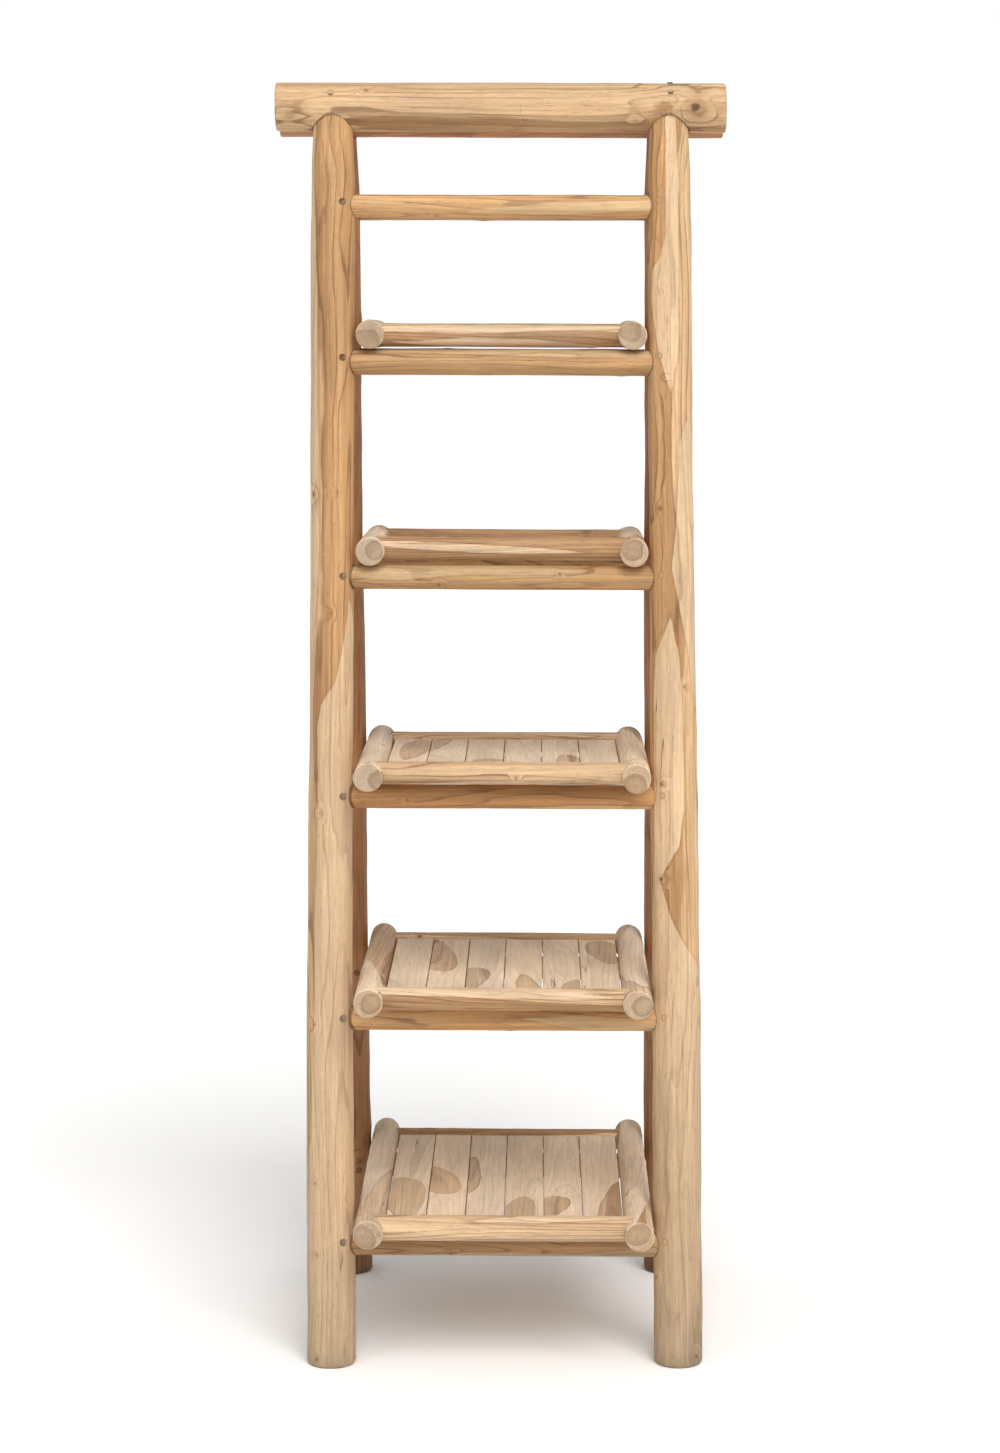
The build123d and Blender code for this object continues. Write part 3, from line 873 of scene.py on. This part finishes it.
def random_sap(rng, length, widths=(22, 48), turns=100):
    """One or two long tongues of sapwood that wander round a log. widths and turns are in degrees."""
    tongues = []
    for _ in range(rng.choice((1, 1, 2))):
        middle, turn = rng.uniform(0.1, 0.9) * length, rng.uniform(-turns, turns)
        reach, width = rng.uniform(0.35, 0.8) * length, rng.uniform(*widths)
        twist = rng.uniform(-60, 60)
        tongue = []
        for k in (-1, -0.72, -0.4, 0, 0.4, 0.72, 1):
            half = width * (1 - k * k) * rng.uniform(0.7, 1.3)
            tongue.append((middle + k * reach, turn + twist * k - half, turn + twist * k + half))
        tongues.append(tongue)
    return tongues


# How much thinner than the CAD's each rung is, in radius, from the floor up. Its top stays under the tray.
RUNG_THINNER = (0.2, 1.1, 1.2, 1.1, 0.0, 0.5)
# How much darker or paler each is than plain rung wood.
RUNG_TONE = (-0.32, -0.02, 0.02, -0.24, -0.20, -0.02)


def random_knots(rng, length, count, sizes=(3, 7)):
    return [
        (rng.uniform(0.05, 0.95) * length, rng.uniform(0, 360), rng.uniform(*sizes), rng.uniform(0.4, 0.9))
        for _ in range(count)
    ]


# The front beam's screws that lie further in front of its axis than this are plugged over.
PLUGGED_FROM = 15 * MM
HOLE_RADIUS = 4.3 * MM
HOLE_REACH = 20 * MM
HOLE_SIDES = 28
Hole = namedtuple("Hole", "head out")


def holes_near(heads, start, end, reach):
    """Screw holes whose head lies within reach of the line from start to end."""
    along = (end - start).normalized()
    found = []
    for head, out in heads:
        rel = head - start
        s = rel.dot(along)
        if (rel - s * along).length < reach and -0.01 < s < (end - start).length + 0.05:
            found.append(Hole(head, out))
    return found


def make_beam(side):
    node = f"{side}_top_beam"
    lo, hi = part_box(node)
    mid = (lo + hi) / 2
    radius = half_size(node, 2)
    beam = Log(node + "_log", (lo.x, mid.y, mid.z), (hi.x, mid.y, mid.z), radius, FRONT, LOG_GRAIN[node],
               step=5.0, sides=80)
    beam.edges = [("round", 3.0 * MM)] * 2
    beam.roughness = 0.5
    if side == "rear":
        beam.grain.knots += random_knots(beam.grain.rng, 626, 5)
    return beam


# Radius of a leg at the beam, as a share of its radius below, and how much flatter its front is there.
LEG_TOP_SHARE = 29.5 / 33
JOINT_FLAT = 2.2 * MM
# Metres below a leg's top where it starts to narrow and to square off, and the lengths that takes.
NARROW_FROM, NARROW_OVER = 0.125, 0.095
SQUARE_FROM, SQUARE_OVER = 0.15, 0.10
SQUARENESS = 0.55
# Metres below its top between which its front flattens, and from where on its skin is smooth.
FLAT_FROM, FLAT_TO = 0.10, 0.04
CALM_FROM = 0.11
# How deep a leg's top sits in the beam, and a rung's end in a leg.
COPE_SINK = 0.6 * MM
RUNG_INTO_LEG = 12 * MM


def make_leg(side, word, beam):
    node = f"{side}_{word}_leg"
    foot = MOUNTS[f"{side}_{word}_foot"]
    low, high = centre(f"{side}_rung_1"), centre(f"{side}_top_rung")
    along = (high - low).normalized()
    radius = half_size(node, 0)
    top = foot + along * ((beam.p0[2] - foot.z) / along.z)
    leg = Log(node + "_log", foot, top, radius, FRONT, LOG_GRAIN[node], step=6.5, sides=72)
    leg.cuts = [
        plane_cut(np.array([0.0, 0.0, 0.0]), np.array(UP), leg.d),
        cope_cut(beam.p0, beam.radius - COPE_SINK, leg.d),
    ]
    leg.edges = [("round", 6.0 * MM), ("cope", 2.4 * MM)]
    leg.taper = lambda s: 1 - (1 - LEG_TOP_SHARE) * smooth((s - leg.length + NARROW_FROM) / NARROW_OVER)
    leg.square = lambda s: SQUARENESS * smooth((s - leg.length + SQUARE_FROM) / SQUARE_OVER)
    outward = SIDES[word] * np.array(RIGHT)
    for side_way, table in ((outward, OUTER_SHIFT), (-outward, INNER_SHIFT)):
        if node in table:
            places, sizes = (np.array(v) * MM for v in zip(*table[node]))
            leg.shifts.append((side_way, places, sizes, 1))
    if side == "front":
        # its front is dressed flatter where it meets the beam
        places = leg.length - np.array((FLAT_FROM, FLAT_TO))
        leg.shifts.append((np.array(FRONT), places, np.array((0, -JOINT_FLAT)), 2))
    leg.grain.sap = LEG_SAP.get(node, [])
    leg.seams = [(beam.p0, beam.d, beam.radius, NO_LIMIT)]
    leg.calm_from = leg.length - CALM_FROM
    low_tone = -0.15 if word == "left" else -0.22
    leg.grain.patches = [(0, 110, -0.20, 0.06), (0, 14, -0.10, 0.05), (150, 420, low_tone, 0)]
    if side == "rear":
        leg.grain.knots += random_knots(leg.grain.rng, 1700, 9)
    return leg


def make_rung(side, k, node, legs):
    """The frame's rung k, counted from the floor, its ends let into the legs."""
    thinner = RUNG_THINNER[k] * MM
    mid = centre(node) + UP * thinner
    radius = half_size(node, 2) - thinner
    seed = 60 + k + (20 if side == "rear" else 0)
    rng = random.Random(seed)
    grain = Grain(seed, heart=rng.uniform(13, 17), tone=RUNG_TONE[k], wander=2.2)
    grain.knots = random_knots(rng, 405, 2, (2.5, 4.5))
    leg_node = f"{side}_right_leg"
    reach = centre(leg_node).x - half_size(leg_node, 0) + RUNG_INTO_LEG
    rung = Log(node + "_pole", (-reach, mid.y, mid.z), (reach, mid.y, mid.z), radius, FRONT, grain,
               step=4.5, sides=44)
    rung.edges = [("round", 9.0 * MM)] * 2
    rung.roughness = 0.45
    grain.sap = random_sap(rng, 2 * reach / MM)
    rung.seams = [(leg.p0, leg.d, leg.radius, NO_LIMIT) for leg in legs.values()]
    return rung


def make_frame(side):
    body = BODY[side]
    heads = screw_heads(f"{side}_frame_screws")
    beam = make_beam(side)
    reach = beam.radius + 8 * MM
    holes = holes_near(heads, Vector(beam.p0), Vector(beam.p1), reach)
    if side == "front":
        for hole in holes:
            if hole.head.y < beam.p0[1] - PLUGGED_FROM:
                beam.plug(hole.head)
        holes = [hole for hole in holes if hole.head.y >= beam.p0[1] - PLUGGED_FROM]
    # the rear frame takes the teak that is painted darker as shade
    wood = WOODS["log_wood" if side == "front" else "rear_shaded_log_wood"]
    legs = {word: make_leg(side, word, beam) for word in SIDES}
    beam.seams = [
        (leg.p0, leg.d, leg.radius * LEG_TOP_SHARE - JOINT_FLAT, leg.length)
        for leg in legs.values()
    ]
    place_piece(beam.build(wood, holes), body, "log_wood", f"{side}_top_beam")
    for word, leg in legs.items():
        holes = holes_near(heads, Vector(leg.p0), Vector(leg.p1) - UP * 0.08, leg.radius + 8 * MM)
        if (side, word) == ("front", "right"):
            for hole in holes:
                leg.plug(hole.head)
            holes = []
        place_piece(leg.build(wood, holes), body, "log_wood", f"{side}_{word}_leg")
    names = [f"{side}_rung_{k}" for k in TRAYS] + [f"{side}_top_rung"]
    for k, node in enumerate(names):
        place_piece(make_rung(side, k, node, legs).build(WOODS["rung_wood"]), body, "rung_wood", node)


# ---- trays
# How much wider than the CAD's each side of a board is, and how much more at the tray's sides.
SLAT_SPREAD = 0.55 * MM
OUTER_SPREAD = 1.4 * MM
# How far a board stands out at its foot, where the gap closes below and where it stays open.
SLAT_FOOT = 0.55 * MM
OPEN_FOOT = 0.1 * MM
# How deep a rail's ends sit in the poles.
RAIL_SINK = 0.8 * MM
# A point far from any knot, as the material reads it.
NO_KNOT = (9.0, 9.0, 0.0)
# Rails of each tray: radius, height of their axis above the poles', tone, radius of the heartwood, pith.
RAIL_LOOK = {
    (1, "front"): (17.0, 2.0, -0.10, 9, (-3, -8)),
    (2, "front"): (15.8, 0.8, -0.06, 17, (4, -7)),
    (3, "front"): (15.4, 2.8, -0.12, 12, (-2, -6)),
    (4, "front"): (16.6, 2.6, -0.12, 21, (8, 3)),
    (5, "front"): (15.8, -1.4, -0.10, 14, (6, -3)),
    (1, "rear"): (15.0, -3.0, -0.04, 14, (4, 5)),
    (2, "rear"): (15.0, -2.6, -0.06, 12, (5, -5)),
    (3, "rear"): (15.0, -0.6, -0.04, 15, (-4, 6)),
    (4, "rear"): (15.5, 1.0, -0.04, 13, (3, 7)),
    (5, "rear"): (15.5, 0.0, -0.02, 14, (-6, 3)),
}


def make_pole(tray, word):
    node = f"tray_{tray}_{word}_pole"
    lo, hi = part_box(node)
    mid = (lo + hi) / 2
    radius = half_size(node, 2)
    seed = 200 + 10 * tray + (5 if word == "right" else 0)
    rng = random.Random(seed)
    length = (hi.y - lo.y) / MM
    # the right-hand poles are painted paler than the left ones: painted light, against the right leg's shadow
    # on them
    tone = rng.uniform(-0.06, 0.06) + (0.14 if word == "right" else 0.05)
    grain = Grain(seed, heart=rng.uniform(13, 19), tone=tone, grey=rng.uniform(0.2, 0.42), wander=2.5)
    grain.knots = random_knots(rng, length, 1 + int(length / 250), (3, 6))
    grain.sap = random_sap(rng, length, (75, 115), 35)
    pole = Log(node + "_log", (mid.x, lo.y, mid.z), (mid.x, hi.y, mid.z), radius, UP, grain,
               step=4.5, sides=52)
    pole.edges = [("chamfer", 1.8 * MM)] * 2
    pole.roughness = 0.6
    return pole, node


def make_rail(tray, word):
    node = f"tray_{tray}_{word}_rail"
    radius, lift, tone, heart, pith = RAIL_LOOK[tray, word]
    mid = centre(node) + UP * lift * MM
    pole = f"tray_{tray}_right_pole"
    pole_mid, pole_r = centre(pole), half_size(pole, 2)
    pole_x = pole_mid.x
    seed = 300 + 10 * tray + (5 if word == "rear" else 0)
    rng = random.Random(seed)
    grain = Grain(seed, heart=heart, tone=tone, grey=rng.uniform(0.0, 0.04), pith=pith, wander=3.2)
    grain.knots = random_knots(rng, 330, 2, (2.5, 5))
    grain.sap = random_sap(rng, 330)
    rail = Log(node + "_log", (-pole_x, mid.y, mid.z), (pole_x, mid.y, mid.z), radius * MM, FRONT, grain,
               step=4.5, sides=44)
    for which, sign in ((0, -1), (1, 1)):
        rail.cuts[which] = pole_cope(np.array((sign * pole_x, mid.y, pole_mid.z)), pole_r - RAIL_SINK, sign)
    rail.edges = [("chamfer", 0.3 * MM)] * 2
    rail.roughness = 0.5
    return rail, node


def make_boards(tray):
    """Six flat boards, each with its own figure."""
    node = f"tray_{tray}_slats"
    verts, faces = [], []
    layers = {name: [] for name in ("grain", "tint", "mark", "knot", "sap")}
    for board, points in enumerate(sorted(islands(NODES[node]), key=lambda p: p[0].x)):
        co = np.array(points)
        lo, hi = co.min(0), co.max(0)
        rng = random.Random(4000 + tray * 31 + board * 7)
        lo[0] -= SLAT_SPREAD + (OUTER_SPREAD if board == 0 else 0)
        hi[0] += SLAT_SPREAD + (OUTER_SPREAD if board == 5 else 0)
        open_side = board >= 3 and rng.random() < 0.6
        board_mesh(lo, hi, OPEN_FOOT if open_side else SLAT_FOOT, rng, verts, faces, layers)
    mesh = bpy.data.meshes.new(node + "_boards")
    mesh.from_pydata(verts, [], faces)
    obj = add_object(node + "_boards", mesh)
    mesh.materials.append(WOODS["slat_wood"])
    for name, values in layers.items():
        write_attribute(mesh, name, values)
    finish_mesh(obj)
    return obj, node


def brown_figures(rng, length):
    """A board's brown lobe, if any: its middle across and along, half sizes, one-sidedness and slant."""
    if rng.random() < 0.35:
        return []
    middle = rng.choice((-1, 1)) * rng.uniform(6, 26) * MM
    place = rng.uniform(0.05, 0.95) * length
    half_width = rng.uniform(16, 30) * MM
    half_length = rng.uniform(55, 130) * MM
    lopsided = rng.uniform(-0.6, 0.6)
    slant = rng.uniform(-16, 16) * MM
    return [(middle, place, half_width, half_length, lopsided, slant)]


def outside_figure(x, s, figure):
    """Distance outside a brown lobe, negative inside."""
    middle, place, half_width, half_length, lopsided, slant = figure
    u = (s - place) / half_length
    width = half_width * math.sqrt(max(1 - u * u, 0)) * (1 + lopsided * u)
    return max(abs(x - middle - slant * u) - width, (abs(u) - 1) * half_length)


def board_mesh(lo, hi, foot, rng, verts, faces, layers):
    """One board. Its edges slope out by foot towards the underside, so that the gaps close below."""
    width, length, thick = hi - lo
    bevel = 0.8 * MM
    skew = rng.uniform(-0.25, 0.25) * MM
    left, right = lo[0] + max(skew, 0), hi[0] + min(skew, 0)
    across = [0.0, bevel, *np.linspace(0.12, 0.88, 9) * (right - left), right - left - bevel, right - left]
    # section: up one side, over the top, down the other, back under
    section = [(-foot, 0.0)]
    section += [(x, thick if 0 < k < len(across) - 1 else thick - bevel) for k, x in enumerate(across)]
    section += [(right - left + foot, 0.0)]
    section += [(x, 0.0) for x in reversed(across[1:-1])]
    count = max(4, round(length / (9 * MM)))
    base = len(verts)
    n = len(section)
    slope_y, slope_z = rng.uniform(-0.030, 0.030), rng.uniform(-0.055, 0.055)
    pith_x, pith_z = rng.uniform(-22, 22) * MM, rng.uniform(-34, -12) * MM
    heart = rng.uniform(16, 30)
    swell_at, swell_w = rng.uniform(0.15, 0.85) * length, rng.uniform(0.05, 0.12)
    swell = rng.uniform(0, 14) * MM if rng.random() < 0.6 else 0
    tone, grey = rng.uniform(-0.07, 0.06), rng.uniform(0.05, 0.30)
    offset = rng.uniform(0, 40)
    cup = rng.uniform(-0.25, 0.15) * MM
    figures = brown_figures(rng, length)
    for i in range(count + 1):
        y = lo[1] + length * i / count
        s = y - lo[1]
        bow = 0.25 * MM * math.sin(s * 9 + offset)
        for x, z in section:
            mid = (x / (right - left) - 0.5) * 2
            verts.append((left + x, y, lo[2] + z + (cup * (1 - mid * mid) + bow * 0.4 if z > 0 else 0)))
            bulge = swell * math.exp(-(((s - swell_at) / swell_w) ** 2))
            layers["grain"].append((s + offset, x - (right - left) / 2 - pith_x - slope_y * s,
                                    z - pith_z - slope_z * (s - length / 2) - bulge))
            layers["tint"].append((tone, grey, heart * MM))
            layers["mark"].append((1.0 if i in (0, count) else 0.0, 1.0, 0.0))
            layers["knot"].append(NO_KNOT)
            depth = SAP_LIMIT * MM
            for figure in figures:
                depth = min(depth, outside_figure(x - (right - left) / 2, s, figure))
            layers["sap"].append((depth, 0.0, 0.0))
    for i in range(count):
        for j in range(n):
            k = (j + 1) % n
            a, b = base + i * n, base + (i + 1) * n
            faces.append((a + j, b + j, b + k, a + k))
    faces.append(tuple(base + j for j in range(n)))
    faces.append(tuple(base + count * n + j for j in reversed(range(n))))


def make_tray(tray):
    body = f"tray_{tray}"
    for word in SIDES:
        pole, node = make_pole(tray, word)
        place_piece(pole.build(WOODS["side_pole_wood"]), body, "pole_wood", node)
    for word in ("front", "rear"):
        rail, node = make_rail(tray, word)
        place_piece(rail.build(WOODS["pole_wood"]), body, "pole_wood", node)
    boards, node = make_boards(tray)
    place_piece(boards, body, "slat_wood", node)


# ---- stage, lights, camera
def make_stage():
    mesh = bpy.data.meshes.new("floor")
    corners = [(x * FLOOR_REACH, y * FLOOR_REACH, 0) for x, y in ((-1, -1), (1, -1), (1, 1), (-1, 1))]
    mesh.from_pydata(corners, [], [(0, 1, 2, 3)])
    floor = add_object("floor", mesh)
    n = Nodes("white_floor")
    n.shader.inputs["Base Color"].default_value = (0.97, 0.97, 0.97, 1)
    n.shader.inputs["Roughness"].default_value = 0.9
    n.shader.inputs["Specular IOR Level"].default_value = 0.0
    mesh.materials.append(n.material)


def make_key():
    """A very wide, soft light from the front, above and a little to the right."""
    data = bpy.data.lights.new("key", "SUN")
    data.angle = math.radians(KEY_WIDTH)
    data.energy = KEY_STRENGTH
    data.color = (1.0, 0.985, 0.96)
    light = add_object("key", data)
    light.rotation_euler = Vector(KEY_FROM).to_track_quat("Z", "Y").to_euler()


def make_world():
    """A white room, with most of its light from overhead and in front."""
    world = bpy.data.worlds.new("white_room")
    world.use_nodes = True
    tree = world.node_tree
    background = tree.nodes["Background"]
    ray = tree.nodes.new("ShaderNodeLightPath").outputs["Is Camera Ray"]
    direction = tree.nodes.new("ShaderNodeTexCoord").outputs["Generated"]
    facing = tree.nodes.new("ShaderNodeVectorMath")
    facing.operation = "DOT_PRODUCT"
    facing.inputs[1].default_value = Vector(ROOM_BRIGHTEST).normalized()
    tree.links.new(direction, facing.inputs[0])
    lit = tree.nodes.new("ShaderNodeMapRange")
    limits = {"From Min": -0.4, "From Max": 1.0, "To Min": ROOM_DIM, "To Max": ROOM_BRIGHT}
    for name, value in limits.items():
        lit.inputs[name].default_value = value
    tree.links.new(facing.outputs["Value"], lit.inputs["Value"])
    strength = tree.nodes.new("ShaderNodeMix")
    strength.inputs["B"].default_value = 1.0
    tree.links.new(ray, strength.inputs["Factor"])
    tree.links.new(lit.outputs[0], strength.inputs["A"])
    tree.links.new(strength.outputs["Result"], background.inputs["Strength"])
    background.inputs["Color"].default_value = (1.0, 1.0, 1.0, 1)
    bpy.context.scene.world = world
    bpy.context.scene.view_settings.view_transform = "Standard"


def make_camera():
    data = bpy.data.cameras.new("camera")
    data.lens = CAMERA_LENS
    data.sensor_width = 36.0
    data.sensor_fit = "AUTO"
    data.shift_y = CAMERA_SHIFT_Y
    data.clip_end = 100
    camera = add_object("camera", data)
    camera.location = CAMERA_PLACE
    turn = Matrix.Rotation(math.radians(-CAMERA_YAW), 4, "Z")
    turn = turn @ Matrix.Rotation(math.radians(90 + CAMERA_PITCH), 4, "X")
    turn = turn @ Matrix.Rotation(math.radians(CAMERA_ROLL), 4, "Z")
    camera.rotation_euler = turn.to_euler()
    bpy.context.scene.camera = camera


make_camera()
make_world()
make_stage()
make_key()
for side in BODY:
    make_frame(side)
for tray in TRAYS:
    make_tray(tray)
for node, obj in NODES.items():
    finish = "hinge_steel" if "hinge" in node else "screw_steel"
    if not obj.hide_render:
        for slot in obj.material_slots:
            slot.material = STEELS[finish]
